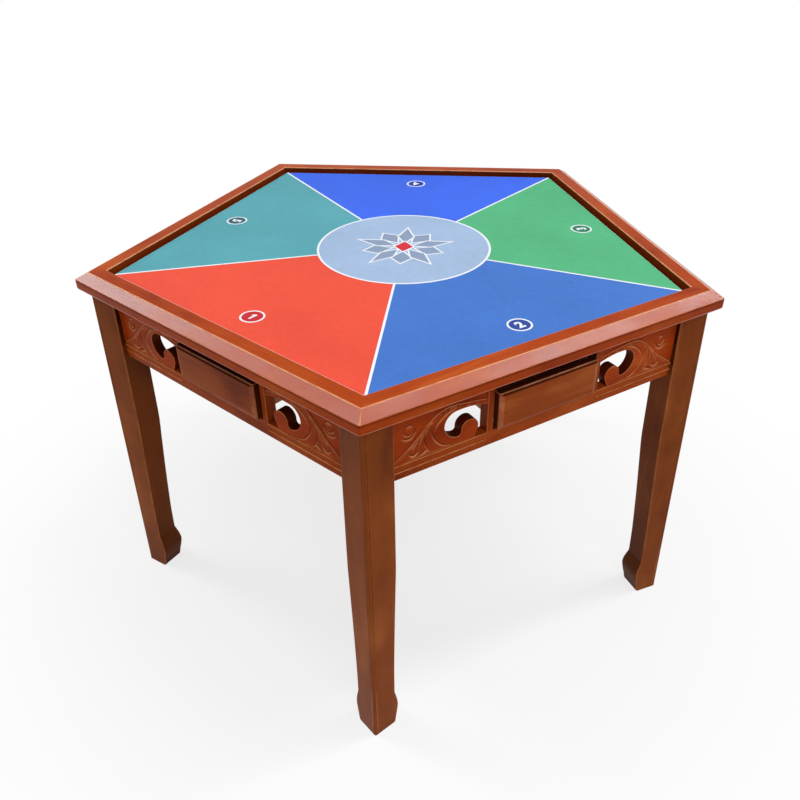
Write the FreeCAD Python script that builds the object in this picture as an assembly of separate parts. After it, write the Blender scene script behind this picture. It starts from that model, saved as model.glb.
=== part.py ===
import FreeCAD, Part
import math
import os

# Five-sided card and mahjong table: a mitred rim round a sunk playing board, five square legs
# set cornerwise on hoof feet, carved and pierced aprons, and one side-hung drawer in every apron.
# Millimetres, +Z up, floor at z = 0. One side is drawn facing -Y and turned to its place.

# ---- driving dimensions ----
TABLE_SIDE = 750.0          # outer edge of the rim, corner to corner
TABLE_HEIGHT = 750.0
RIM_THICKNESS = 34.0
RIM_WIDTH = 50.0
RIM_BEVEL_WIDTH = 21.7
RIM_BEVEL_DROP = 12.4
RIM_LOWER_ROUND = 6.0
RIM_INNER_CHAMFER = 1.0
RIM_CORNER_ROUND = 5.0
TOP_RAIL_HEIGHT = 17.0      # rail under the rim, over the drawers and panels, from leg to leg
TOP_RAIL_WIDTH = 54.4
BASE_THICKNESS = 12.0       # plywood panel that carries the playing board
BASE_CLEARANCE = 0.5
BOARD_GAP = 9.5             # open joint between the playing board and the rim
BOARD_THICKNESS = 10.5
CLOTH_THICKNESS = 1.0

LEG_SETBACK = 18.1          # from the rim's edge, at its mitres, to a leg's outer corner
LEG_SPLAY = 17.4            # how far a leg's outer corner leans out from top to floor
LEG_FACE = 60.0             # one face of a leg at the top
LEG_ANKLE = 50.6
LEG_HOOF = 58.0
LEG_SOLE = 51.0
STRAIGHT_DROP = 165.0       # below the apron a leg keeps its full section for this length
ANKLE_HEIGHT = 88.0
SOLE_CHAMFER = 2.0
BEAD_WIDTH = 5.5            # bead along a leg's outer corner
BEAD_GROOVE = 2.4
BEAD_DEPTH = 1.4
BEAD_ROUND = 4.0
LEG_SIDE_ROUND = 2.0
LEG_INNER_ROUND = 5.0

APRON_SETBACK = 36.6        # from the rim's edge back to the apron's face
APRON_THICKNESS = 20.0
APRON_HEIGHT = 119.0
RAIL_HEIGHT = 28.0
RAIL_BEAD_RADIUS = 2.3
RAIL_BEAD_SPACING = 13.3
POST_WIDTH = 12.0
POST_PROUD = 1.0
CARVING_DEPTH = 1.6

DRAWER_HALF = 106.0         # half the width of a drawer front
DRAWER_SIDE_GAP = 3.0
DRAWER_LOWER_GAP = 4.5
FINGER_GAP = 16.0           # open gap over a drawer front
DRAWER_PROUD = 13.5
DRAWER_FRONT_THICKNESS = 17.5
DRAWER_BORDER = 8.0         # width and drop of the bevel round a drawer front
DRAWER_BORDER_DROP = 3.0
DRAWER_TOP_BORDER = 5.0     # the bevel along the upper edge is narrower
BOX_INSET = 6.0             # drawer box inside the drawer front: at each side, below and above
BOX_LIFT = 6.5
BOX_DROP = 9.0
BOX_LENGTH = 240.0
BOX_BOARD = 12.0
BOTTOM_THICKNESS = 5.0
BOTTOM_LIFT = 3.0
BOTTOM_GROOVE = 5.0

GUIDE_CLEARANCE = 1.5
GUIDE_THICKNESS = 15.0
RUNNER_HEIGHT = 8.0
RUNNER_DROP = 14.0          # from the drawer box's top down to the middle of a runner
RUNNER_LIFT = 15.0          # from the guide's lower edge up to the middle of a runner
RUNNER_CLEARANCE = 0.7
GROOVE_DEPTH = 5.0

BLOCK_GAP = 1.5             # between a leg's inner corner and the corner block behind it
BLOCK_THICKNESS = 27.0
BLOCK_HEIGHT = 59.0
BOLT_RADIUS = 4.0
BOLT_REACH = 42.0
BOLT_HEAD_ACROSS = 13.0
BOLT_HEAD_HEIGHT = 5.5
BOLT_CLEARANCE = 0.3
CUT_MARGIN = 1.0            # how far a cutting body runs past the face that it opens

# ---- worked out from them ----
HALF_ANGLE = math.pi / 5
COS_HALF = math.cos(HALF_ANGLE)
SIN_HALF = math.sin(HALF_ANGLE)
TAN_HALF = math.tan(HALF_ANGLE)
LEG_ANGLE = math.pi / 4                      # half of a leg's outer corner
COS_LEG = math.cos(LEG_ANGLE)
SIN_LEG = math.sin(LEG_ANGLE)
LEG_TURN = math.pi / 2 - HALF_ANGLE - LEG_ANGLE    # from an apron to the leg's face beside it
EDGE = TABLE_SIDE / 2 / TAN_HALF             # axis to the middle of a rim edge
CORNER = EDGE / COS_HALF
ROUNDED_CORNER = CORNER - RIM_CORNER_ROUND * (1 / COS_HALF - 1)
CENTRE_Y = (ROUNDED_CORNER - EDGE) / 2       # puts the origin in the middle of the outline
RIM_BOTTOM = TABLE_HEIGHT - RIM_THICKNESS
APRON_TOP = RIM_BOTTOM - TOP_RAIL_HEIGHT
BASE_TOP = RIM_BOTTOM + BASE_THICKNESS
BOARD_EDGE = EDGE - RIM_WIDTH - BOARD_GAP
BOARD_TOP = BASE_TOP + BOARD_THICKNESS

APRON_FACE = EDGE - APRON_SETBACK
APRON_BACK = APRON_FACE - APRON_THICKNESS
TOP_RAIL_INNER = APRON_FACE - TOP_RAIL_WIDTH
APRON_BOTTOM = APRON_TOP - APRON_HEIGHT
RAIL_TOP = APRON_BOTTOM + RAIL_HEIGHT
POST_INNER = DRAWER_HALF + DRAWER_SIDE_GAP
POST_OUTER = POST_INNER + POST_WIDTH

LEG_TOP_RADIUS = (EDGE - LEG_SETBACK) / COS_HALF    # a leg's outer corner, from the table's axis
LEG_FOOT_RADIUS = LEG_TOP_RADIUS + LEG_SPLAY
LEG_DEPTH = LEG_FACE / COS_LEG
STRAIGHT_BOTTOM = APRON_BOTTOM - STRAIGHT_DROP

DRAWER_FACE = APRON_FACE + DRAWER_PROUD
DRAWER_BACK_PLANE = DRAWER_FACE - DRAWER_FRONT_THICKNESS
DRAWER_BOTTOM = RAIL_TOP + DRAWER_LOWER_GAP
DRAWER_TOP = APRON_TOP - FINGER_GAP
BOX_HALF = DRAWER_HALF - BOX_INSET
BOX_BOTTOM = DRAWER_BOTTOM + BOX_LIFT
BOX_TOP = DRAWER_TOP - BOX_DROP
BOX_END = DRAWER_BACK_PLANE - BOX_LENGTH
GUIDE_INNER = BOX_HALF + GUIDE_CLEARANCE
RUNNER_MIDDLE = BOX_TOP - RUNNER_DROP
GUIDE_BOTTOM = RUNNER_MIDDLE - RUNNER_LIFT

BLOCK_OUTER = LEG_TOP_RADIUS - LEG_DEPTH - BLOCK_GAP
BLOCK_INNER = BLOCK_OUTER - BLOCK_THICKNESS
BLOCK_BOTTOM = APRON_TOP - BLOCK_HEIGHT
BOLT_HEIGHT = (APRON_TOP + BLOCK_BOTTOM) / 2

STEP_DEGREES = 360 / 5
DRAWN_DEGREES = -90
SIDE_NAMES = ("front_left", "front_right", "right", "back", "left")
CORNER_NAMES = ("front", "right", "back_right", "back_left", "left")
SIDES = {name: DRAWN_DEGREES + STEP_DEGREES * (i - 1 / 2) for i, name in enumerate(SIDE_NAMES)}
CORNERS = {name: DRAWN_DEGREES + STEP_DEGREES * i for i, name in enumerate(CORNER_NAMES)}

Z = FreeCAD.Vector(0, 0, 1)

# How a leg's face narrows from its straight part to the ankle: share of the way down, share of
# the narrowing. Then how the hoof swells: share of the ankle's height, share of the swelling.
SHAFT_TAPER = ((0.0, 0.0), (0.2, 0.23), (0.41, 0.52), (0.66, 0.81), (0.83, 0.96), (1.0, 1.0))
HOOF_SWELL = ((1.0, 0.0), (0.86, 0.4), (0.7, 0.82), (0.55, 1.0), (0.37, 0.76), (0.15, 0.28))

# A carved panel is drawn on a pattern, as (distance from the post, height above the rail), and
# the pattern is fitted to the panel.
PATTERN_LENGTH = 184.9
PATTERN_HEIGHT = 91.0
HOLE_TOP_AT_POST = (0.0, 56.5)
BALL_CENTRE = (34.0, 22.0)
BALL_RADIUS = 17.0
BALL_NECK_ANGLE = math.radians(198)
BALL_CUSP_ANGLE = math.radians(-8)
BALL_FOOT = (25.0, 0.0)
POCKET_LIP = (53.0, 15.0)
POCKET_BOTTOM = (57.5, 13.5)
POCKET_SIDE = (75.0, 21.5)
HOLE_OUTER = (83.5, 39.5)
HOLE_SHOULDER = (77.5, 56.0)
HOLE_CROWN = (59.0, 64.3)
HOLE_ARCH = (30.0, 63.5)

# Gouge cuts of the carving on the same pattern: start, middle, end and width.
GOUGES = (
    ((177.0, 9.4), (148.0, 27.8), (123.5, 51.5), 2.6),      # long stem, lower half
    ((120.5, 55.0), (105.0, 69.5), (71.0, 79.5), 2.6),      # long stem, upper half
    ((81.0, 4.5), (100.0, 20.5), (104.5, 38.5), 2.4),       # band round the hole
    ((104.5, 42.5), (95.0, 61.0), (71.5, 71.8), 2.4),
    ((67.0, 72.6), (39.0, 75.0), (4.0, 67.2), 2.4),
    ((115.5, 58.0), (111.5, 35.0), (98.0, 8.0), 2.2),       # veins between stem and band
    ((118.0, 55.0), (119.0, 34.0), (112.0, 12.0), 2.2),
    ((123.0, 49.0), (128.5, 31.0), (126.0, 13.0), 2.0),
    ((131.5, 41.0), (138.0, 27.0), (139.0, 14.0), 1.8),
    ((128.0, 4.5), (121.0, 9.8), (114.5, 13.0), 3.2),       # two leaf tips above the rail
    ((147.5, 6.0), (140.5, 6.8), (134.0, 13.5), 3.0),
    ((141.0, 68.0), (149.0, 70.5), (156.0, 64.0), 2.6),     # scroll eye beside the leg
    ((141.5, 48.0), (153.5, 49.5), (160.5, 58.5), 3.0),
    ((141.0, 62.0), (139.0, 55.0), (144.5, 51.5), 2.2),
)


# ---- helpers ----
def vec(x, y, z=0.0):
    return FreeCAD.Vector(x, y, z)


def box(x0, x1, y0, y1, z0, z1):
    return Part.makeBox(x1 - x0, y1 - y0, z1 - z0, vec(x0, y0, z0))


def slab(half, near, far, z0, z1):
    """A board that lies across one side, from distance near to distance far from the axis."""
    return box(-half, half, -far, -near, z0, z1)


def both_ways(shape):
    """The shape and its mirror image across the middle of the side."""
    return [shape, shape.mirror(vec(0, 0), vec(1, 0))]


def placed(shape, azimuth):
    """Turn a shape that was drawn facing -Y to its azimuth, and set it about the table's axis."""
    turned = shape.copy()
    turned.rotate(vec(0, 0), Z, azimuth - DRAWN_DEGREES)
    turned.translate(vec(0, CENTRE_Y))
    return turned


def save(name, shapes, azimuth=None):
    if azimuth is not None:
        shapes = [placed(shape, azimuth) for shape in shapes]
    solids = [solid for shape in shapes for solid in shape.Solids]
    whole = solids[0] if len(solids) == 1 else Part.makeCompound(solids)
    whole.exportStep("parts/" + name + ".step")


def round_wire(corners, z):
    """A closed wire through (x, y, radius) corners, each rounded by its radius."""
    points = [vec(x, y, z) for x, y, radius in corners]
    ends = []
    arcs = []
    for i, (x, y, radius) in enumerate(corners):
        here = points[i]
        back = (points[i - 1] - here).normalize()
        ahead = (points[(i + 1) % len(points)] - here).normalize()
        if radius == 0:
            ends.append((here, here))
            arcs.append(None)
            continue
        half = back.getAngle(ahead) / 2
        reach = radius / math.tan(half)
        middle_way = (back + ahead).normalize()
        middle = here + middle_way * (radius / math.sin(half) - radius)
        start, end = here + back * reach, here + ahead * reach
        ends.append((start, end))
        arcs.append(Part.Arc(start, middle, end).toShape())
    edges = []
    for i in range(len(corners)):
        if arcs[i]:
            edges.append(arcs[i])
        following = ends[(i + 1) % len(corners)][0]
        edges.append(Part.makeLine(ends[i][1], following))
    return Part.Wire(edges)


def pentagon(distance, z0, z1, corner_round=0.0, turn=0.0):
    """A five-sided prism whose sides are at a distance from the table's axis."""
    radius = distance / COS_HALF
    corners = []
    for azimuth in CORNERS.values():
        angle = math.radians(azimuth) + turn
        corners.append((radius * math.cos(angle), radius * math.sin(angle), corner_round))
    return Part.Face(round_wire(corners, z0)).extrude(Z * (z1 - z0))


def mitred(profile, z0, z1):
    """A moulding along one side: a (distance, z) outline run out and cut to the mitre planes."""
    wire = Part.makePolygon([vec(-CORNER, -d, z) for d, z in profile + profile[:1]])
    bar = Part.Face(wire).extrude(vec(2 * CORNER, 0))
    wedge = Part.makePolygon([vec(0, 0, z0), vec(CORNER * TAN_HALF, -CORNER, z0),
                              vec(-CORNER * TAN_HALF, -CORNER, z0), vec(0, 0, z0)])
    return bar.common(Part.Face(wedge).extrude(Z * (z1 - z0)))


# ---- top ----
def rim_piece():
    inner = EDGE - RIM_WIDTH
    facets = 4
    lower_round = []
    for step in range(facets + 1):
        turn = math.pi / 2 * step / facets
        lower_round.append((EDGE - RIM_LOWER_ROUND * (1 - math.sin(turn)),
                            RIM_BOTTOM + RIM_LOWER_ROUND * (1 - math.cos(turn))))
    profile = [(inner, RIM_BOTTOM)] + lower_round + [
        (EDGE, TABLE_HEIGHT - RIM_BEVEL_DROP),
        (EDGE - RIM_BEVEL_WIDTH, TABLE_HEIGHT),
        (inner + RIM_INNER_CHAMFER, TABLE_HEIGHT),
        (inner, TABLE_HEIGHT - RIM_INNER_CHAMFER)]
    bar = mitred(profile, RIM_BOTTOM, TABLE_HEIGHT)
    return bar.common(pentagon(EDGE, RIM_BOTTOM, TABLE_HEIGHT, RIM_CORNER_ROUND, HALF_ANGLE))


# ---- legs ----
def leg_radius(z):
    return LEG_FOOT_RADIUS - LEG_SPLAY * z / RIM_BOTTOM


def leg_section(z, face):
    """A leg's square section, with its beaded outer corner towards -Y."""
    corner_y = -leg_radius(z)

    def right(distance, depth, radius):
        return (distance * SIN_LEG - depth * COS_LEG,
                corner_y + distance * COS_LEG + depth * SIN_LEG, radius)

    half = [right(BEAD_WIDTH, 0, 0), right(BEAD_WIDTH + BEAD_GROOVE / 2, BEAD_DEPTH, 0),
            right(BEAD_WIDTH + BEAD_GROOVE, 0, 0), right(face, 0, LEG_SIDE_ROUND)]
    inner = (0, corner_y + face / COS_LEG, LEG_INNER_ROUND)
    mirrored = [(-x, y, radius) for x, y, radius in reversed(half)]
    return round_wire([(0, corner_y, BEAD_ROUND)] + half + [inner] + mirrored, z)


def leg():
    straight = [(RIM_BOTTOM, LEG_FACE), (STRAIGHT_BOTTOM, LEG_FACE)]
    shaft = [(STRAIGHT_BOTTOM - (STRAIGHT_BOTTOM - ANKLE_HEIGHT) * down,
              LEG_FACE - (LEG_FACE - LEG_ANKLE) * narrowed) for down, narrowed in SHAFT_TAPER]
    hoof = [(ANKLE_HEIGHT * height, LEG_ANKLE + (LEG_HOOF - LEG_ANKLE) * swollen)
            for height, swollen in HOOF_SWELL]
    hoof.append((SOLE_CHAMFER, LEG_SOLE))
    sole = [(SOLE_CHAMFER, LEG_SOLE), (0.0, LEG_SOLE - SOLE_CHAMFER)]
    lengths = []
    for levels, ruled in ((straight, True), (shaft, False), (hoof, False), (sole, True)):
        lengths.append(Part.makeLoft([leg_section(z, face) for z, face in levels], True, ruled))
    return lengths[0].fuse(lengths[1:])


def bolt_hole(radius, near, far):
    return Part.makeCylinder(radius, far - near, vec(0, -near, BOLT_HEIGHT), vec(0, -1, 0))


def bolt():
    shank = bolt_hole(BOLT_RADIUS, BLOCK_INNER, BLOCK_OUTER + BOLT_REACH)
    head_radius = BOLT_HEAD_ACROSS / 2 / math.cos(math.pi / 6)
    corners = []
    for step in range(7):
        turn = step * math.pi / 3
        corners.append(vec(head_radius * math.cos(turn), BOLT_HEAD_HEIGHT - BLOCK_INNER,
                           BOLT_HEIGHT + head_radius * math.sin(turn)))
    head = Part.Face(Part.makePolygon(corners)).extrude(vec(0, -BOLT_HEAD_HEIGHT))
    return shank.fuse(head)


def corner_block():
    """A block across the corner, from the back of one apron to the back of the next."""
    def half_width(radius):
        return (APRON_BACK - radius * COS_HALF) / SIN_HALF
    inner, outer = half_width(BLOCK_INNER), half_width(BLOCK_OUTER)
    outline = [vec(-inner, -BLOCK_INNER, BLOCK_BOTTOM), vec(inner, -BLOCK_INNER, BLOCK_BOTTOM),
               vec(outer, -BLOCK_OUTER, BLOCK_BOTTOM), vec(-outer, -BLOCK_OUTER, BLOCK_BOTTOM)]
    body = Part.Face(Part.makePolygon(outline + outline[:1])).extrude(Z * BLOCK_HEIGHT)
    return body.cut(bolt_hole(BOLT_RADIUS + BOLT_CLEARANCE, BLOCK_INNER - CUT_MARGIN,
                              BLOCK_OUTER + CUT_MARGIN))


# ---- aprons ----
def leg_side(z, distance):
    """Where a leg's side face stands along the apron, at a height and a distance from the axis."""
    return (leg_radius(z) * COS_LEG - LEG_FACE - distance * math.sin(LEG_TURN)) / math.cos(LEG_TURN)


def leg_space():
    """Cuts the right-hand end of an apron's pieces to the side face of the leg."""
    near, far = APRON_FACE + APRON_THICKNESS, TOP_RAIL_INNER - APRON_THICKNESS
    low, high = APRON_BOTTOM - CUT_MARGIN, RIM_BOTTOM + CUT_MARGIN
    corners = [vec(leg_side(low, near), -near, low), vec(leg_side(low, far), -far, low),
               vec(leg_side(low, far) + LEG_FACE, -far, low), vec(leg_side(low, near) + LEG_FACE, -near, low)]
    drawn_in = leg_radius(low) - leg_radius(high)
    lean = vec(-drawn_in * SIN_HALF, drawn_in * COS_HALF, high - low)
    return Part.Face(Part.makePolygon(corners + corners[:1])).extrude(lean)


def top_rail():
    profile = [(TOP_RAIL_INNER, APRON_TOP), (APRON_FACE, APRON_TOP), (APRON_FACE, RIM_BOTTOM),
               (TOP_RAIL_INNER, RIM_BOTTOM)]
    return mitred(profile, APRON_TOP, RIM_BOTTOM).cut(both_ways(leg_space()))


def rail():
    end = leg_side(APRON_BOTTOM, APRON_BACK) + CUT_MARGIN
    body = slab(end, APRON_BACK, APRON_FACE, APRON_BOTTOM, RAIL_TOP)
    upper = RAIL_TOP - RAIL_BEAD_RADIUS
    for z in (upper, upper - RAIL_BEAD_SPACING):
        bead = Part.makeCylinder(RAIL_BEAD_RADIUS, end - POST_OUTER,
                                 vec(POST_OUTER, -APRON_FACE, z), vec(1, 0, 0))
        body = body.fuse(both_ways(bead))
    return body.removeSplitter().cut(both_ways(leg_space()))


def posts():
    return both_ways(box(POST_INNER, POST_OUTER, -APRON_FACE - POST_PROUD, -APRON_BACK,
                         RAIL_TOP, APRON_TOP))


def on_panel(point):
    """A point of the pattern, on the face of a panel."""
    along = (leg_side(RAIL_TOP, APRON_FACE) - POST_OUTER) / PATTERN_LENGTH
    up = (APRON_TOP - RAIL_TOP) / PATTERN_HEIGHT
    return vec(POST_OUTER + point[0] * along, -APRON_FACE, RAIL_TOP + point[1] * up)


def arc_on_panel(start, middle, end):
    return Part.Arc(on_panel(start), on_panel(middle), on_panel(end)).toShape()


def on_ball(angle):
    return BALL_CENTRE[0] + BALL_RADIUS * math.cos(angle), BALL_CENTRE[1] + BALL_RADIUS * math.sin(angle)


def gouge(start, middle, end, width):
    """A crescent cut that runs out to a point at both ends."""
    run, rise = end[0] - start[0], end[1] - start[1]
    length = math.hypot(run, rise)
    deeper = (middle[0] - rise / length * width, middle[1] + run / length * width)
    wire = Part.Wire([arc_on_panel(start, middle, end), arc_on_panel(end, deeper, start)])
    return Part.Face(wire).extrude(vec(0, CARVING_DEPTH))


def carved_panel():
    """The right-hand panel of an apron, as seen from outside: post to leg, rail to top rail."""
    neck, cusp, crown_of_ball = on_ball(BALL_NECK_ANGLE), on_ball(BALL_CUSP_ANGLE), on_ball(math.pi / 2)
    post_top = vec(POST_OUTER, -APRON_FACE, APRON_TOP)
    end = leg_side(RAIL_TOP, APRON_BACK) + CUT_MARGIN
    leg_top, leg_bottom = vec(end, -APRON_FACE, APRON_TOP), vec(end, -APRON_FACE, RAIL_TOP)
    hole_top, foot = on_panel(HOLE_TOP_AT_POST), on_panel(BALL_FOOT)
    edges = [Part.makeLine(post_top, leg_top), Part.makeLine(leg_top, leg_bottom),
             Part.makeLine(leg_bottom, foot), Part.makeLine(foot, on_panel(neck)),
             arc_on_panel(neck, crown_of_ball, cusp), arc_on_panel(cusp, POCKET_LIP, POCKET_BOTTOM),
             arc_on_panel(POCKET_BOTTOM, POCKET_SIDE, HOLE_OUTER),
             arc_on_panel(HOLE_OUTER, HOLE_SHOULDER, HOLE_CROWN),
             arc_on_panel(HOLE_CROWN, HOLE_ARCH, HOLE_TOP_AT_POST),
             Part.makeLine(hole_top, post_top)]
    board = Part.Face(Part.Wire(edges)).extrude(vec(0, APRON_THICKNESS))
    return board.cut([gouge(*cut) for cut in GOUGES] + [leg_space()])


# ---- drawers ----
def drawer_runners():
    """Two guide boards under the top, each with the runner strip that a drawer side hangs on."""
    outer = GUIDE_INNER + GUIDE_THICKNESS
    ring_clear = TOP_RAIL_INNER - BASE_CLEARANCE
    outline = [(APRON_BACK, GUIDE_BOTTOM), (APRON_BACK, APRON_TOP), (ring_clear, APRON_TOP),
               (ring_clear, RIM_BOTTOM), (BOX_END, RIM_BOTTOM), (BOX_END, GUIDE_BOTTOM)]
    wire = Part.makePolygon([vec(GUIDE_INNER, -d, z) for d, z in outline + outline[:1]])
    guide = Part.Face(wire).extrude(vec(outer - GUIDE_INNER, 0))
    runner = box(BOX_HALF - GROOVE_DEPTH + RUNNER_CLEARANCE, GUIDE_INNER, -APRON_BACK, -BOX_END,
                 RUNNER_MIDDLE - RUNNER_HEIGHT / 2, RUNNER_MIDDLE + RUNNER_HEIGHT / 2)
    return both_ways(guide) + both_ways(runner)


def drawer_bottom():
    z0 = BOX_BOTTOM + BOTTOM_LIFT
    return slab(BOX_HALF - BOX_BOARD + BOTTOM_GROOVE, BOX_END, DRAWER_BACK_PLANE + BOTTOM_GROOVE,
                z0, z0 + BOTTOM_THICKNESS)


def drawer_front():
    """A thick board with a wide bevel all round its face."""
    board = slab(DRAWER_HALF, DRAWER_BACK_PLANE, DRAWER_FACE - DRAWER_BORDER_DROP, DRAWER_BOTTOM, DRAWER_TOP)

    def outline(distance, inset):
        half, low = DRAWER_HALF - inset, DRAWER_BOTTOM + inset
        high = DRAWER_TOP - inset * DRAWER_TOP_BORDER / DRAWER_BORDER
        corners = [vec(-half, -distance, low), vec(half, -distance, low),
                   vec(half, -distance, high), vec(-half, -distance, high)]
        return Part.makePolygon(corners + corners[:1])

    bevel = Part.makeLoft([outline(DRAWER_FACE - DRAWER_BORDER_DROP, 0),
                           outline(DRAWER_FACE, DRAWER_BORDER)], True, True)
    return board.fuse(bevel).cut(drawer_bottom())


def drawer_box():
    """Two grooved sides and a back."""
    side = box(BOX_HALF - BOX_BOARD, BOX_HALF, -DRAWER_BACK_PLANE, -BOX_END, BOX_BOTTOM, BOX_TOP)
    tall = RUNNER_HEIGHT / 2 + RUNNER_CLEARANCE
    groove = box(BOX_HALF - GROOVE_DEPTH, BOX_HALF + CUT_MARGIN,
                 -APRON_BACK - RUNNER_CLEARANCE, -BOX_END + CUT_MARGIN,
                 RUNNER_MIDDLE - tall, RUNNER_MIDDLE + tall)
    side = side.cut([groove, drawer_bottom()])
    floor_top = BOX_BOTTOM + BOTTOM_LIFT + BOTTOM_THICKNESS
    back = slab(BOX_HALF - BOX_BOARD, BOX_END, BOX_END + BOX_BOARD, floor_top, BOX_TOP)
    return both_ways(side) + [back]


os.makedirs("parts", exist_ok=True)

for name, azimuth in SIDES.items():
    save("rim_" + name, [rim_piece()], azimuth)
    save("top_rail_" + name, [top_rail()], azimuth)
    save("apron_rail_" + name, [rail()], azimuth)
    save("drawer_posts_" + name, posts(), azimuth)
    for hand, panel in zip(("right", "left"), both_ways(carved_panel())):
        save("carved_panel_" + name + "_" + hand, [panel], azimuth)
    save("drawer_runners_" + name, drawer_runners(), azimuth)
    save("drawer_front_" + name, [drawer_front()], azimuth)
    save("drawer_box_" + name, drawer_box(), azimuth)
    save("drawer_bottom_" + name, [drawer_bottom()], azimuth)

drilled_leg = leg().cut(bolt_hole(BOLT_RADIUS, BLOCK_OUTER, BLOCK_OUTER + BOLT_REACH))
for name, azimuth in CORNERS.items():
    save("leg_" + name, [drilled_leg], azimuth)
save("corner_blocks", [placed(corner_block(), azimuth) for azimuth in CORNERS.values()])
save("leg_bolts", [placed(bolt(), azimuth) for azimuth in CORNERS.values()])

for name, distance, z0, z1 in (("base_panel", EDGE - RIM_WIDTH - BASE_CLEARANCE, RIM_BOTTOM, BASE_TOP),
                               ("play_board", BOARD_EDGE, BASE_TOP, BOARD_TOP),
                               ("play_cloth", BOARD_EDGE, BOARD_TOP, BOARD_TOP + CLOTH_THICKNESS)):
    save(name, [placed(pentagon(distance, z0, z1), DRAWN_DEGREES)])
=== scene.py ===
import math
import random

import bmesh
import bpy
from mathutils import Matrix, Vector, geometry


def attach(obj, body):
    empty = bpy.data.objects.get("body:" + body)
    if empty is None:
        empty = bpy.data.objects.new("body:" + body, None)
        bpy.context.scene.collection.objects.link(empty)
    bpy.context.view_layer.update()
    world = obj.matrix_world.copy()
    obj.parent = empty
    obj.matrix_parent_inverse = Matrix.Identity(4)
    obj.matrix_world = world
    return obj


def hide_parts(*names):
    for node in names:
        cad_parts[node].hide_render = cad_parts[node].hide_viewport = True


# A five-sided mahjong table. Every piece is drawn for a side or corner that faces -Y, in metres,
# with X along the board, and its mesh is turned into place about the table's axis.

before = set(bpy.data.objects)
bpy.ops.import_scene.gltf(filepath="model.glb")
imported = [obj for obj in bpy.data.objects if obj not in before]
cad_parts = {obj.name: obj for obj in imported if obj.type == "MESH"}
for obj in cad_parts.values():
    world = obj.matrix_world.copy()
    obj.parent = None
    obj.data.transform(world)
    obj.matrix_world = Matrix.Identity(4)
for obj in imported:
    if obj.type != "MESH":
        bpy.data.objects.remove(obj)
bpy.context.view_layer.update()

# ---- sizes shared with the solids, in metres ----
# Tops and bottoms are heights from the floor. Edges, faces and backs lie that far from the
# table's axis.
CENTRE_Y = 0.060332
SIDE_LENGTH = 0.75
HALF_ANGLE = math.pi / 5
COS_HALF, TAN_HALF = math.cos(HALF_ANGLE), math.tan(HALF_ANGLE)
EDGE = SIDE_LENGTH / 2 / TAN_HALF
TABLE_TOP = 0.75
RIM_BOTTOM = 0.716
RIM_WIDTH = 0.05
APRON_TOP = 0.699
APRON_FACE = EDGE - 0.0366
APRON_BACK = APRON_FACE - 0.02
RAIL_TOP = 0.608
POST_OUTER = 0.121      # from the middle of a side to the outer face of a drawer post
BOARD_EDGE = EDGE - 0.0595
BOARD_TOP = 0.7385
CLOTH_TOP = 0.7395

SIDES = {"front_left": -126, "front_right": -54, "right": 18, "back": 90, "left": 162}
FRONT = -90
CORNERS = {"front": FRONT, "right": -18, "back_right": 54, "back_left": 126, "left": 198}


def turned(azimuth):
    """The place of a piece drawn facing -Y."""
    turn = Matrix.Rotation(math.radians(azimuth + 90), 4, "Z")
    return Matrix.Translation((0, CENTRE_Y, 0)) @ turn


# ---- camera ----
def add_camera():
    azimuth, elevation, roll = math.radians(4.875), math.radians(34.359), math.radians(-0.455)
    target, distance = Vector((0.017061, 0.0699, 0.324952)), 1.878663
    back = Vector((math.sin(azimuth) * math.cos(elevation),
                   -math.cos(azimuth) * math.cos(elevation), math.sin(elevation)))
    right = Vector((math.cos(azimuth), math.sin(azimuth), 0))
    up = back.cross(right)
    right, up = (math.cos(roll) * right + math.sin(roll) * up,
                 math.cos(roll) * up - math.sin(roll) * right)
    camera = bpy.data.objects.new("camera", bpy.data.cameras.new("camera"))
    bpy.context.scene.collection.objects.link(camera)
    axes = Matrix((right, up, back)).transposed().to_4x4()
    camera.matrix_world = Matrix.Translation(target + back * distance) @ axes
    camera.data.lens = 35.80
    camera.data.shift_x, camera.data.shift_y = -0.0126, 0.0125
    camera.data.clip_start, camera.data.clip_end = 0.05, 100
    bpy.context.scene.camera = camera


# ---- materials ----
def srgb(red, green, blue):
    """A linear colour from the three 0-255 values that a screen shows."""
    def linear(value):
        value /= 255
        return value / 12.92 if value <= 0.04045 else ((value + 0.055) / 1.055) ** 2.4
    return linear(red), linear(green), linear(blue), 1.0


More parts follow.
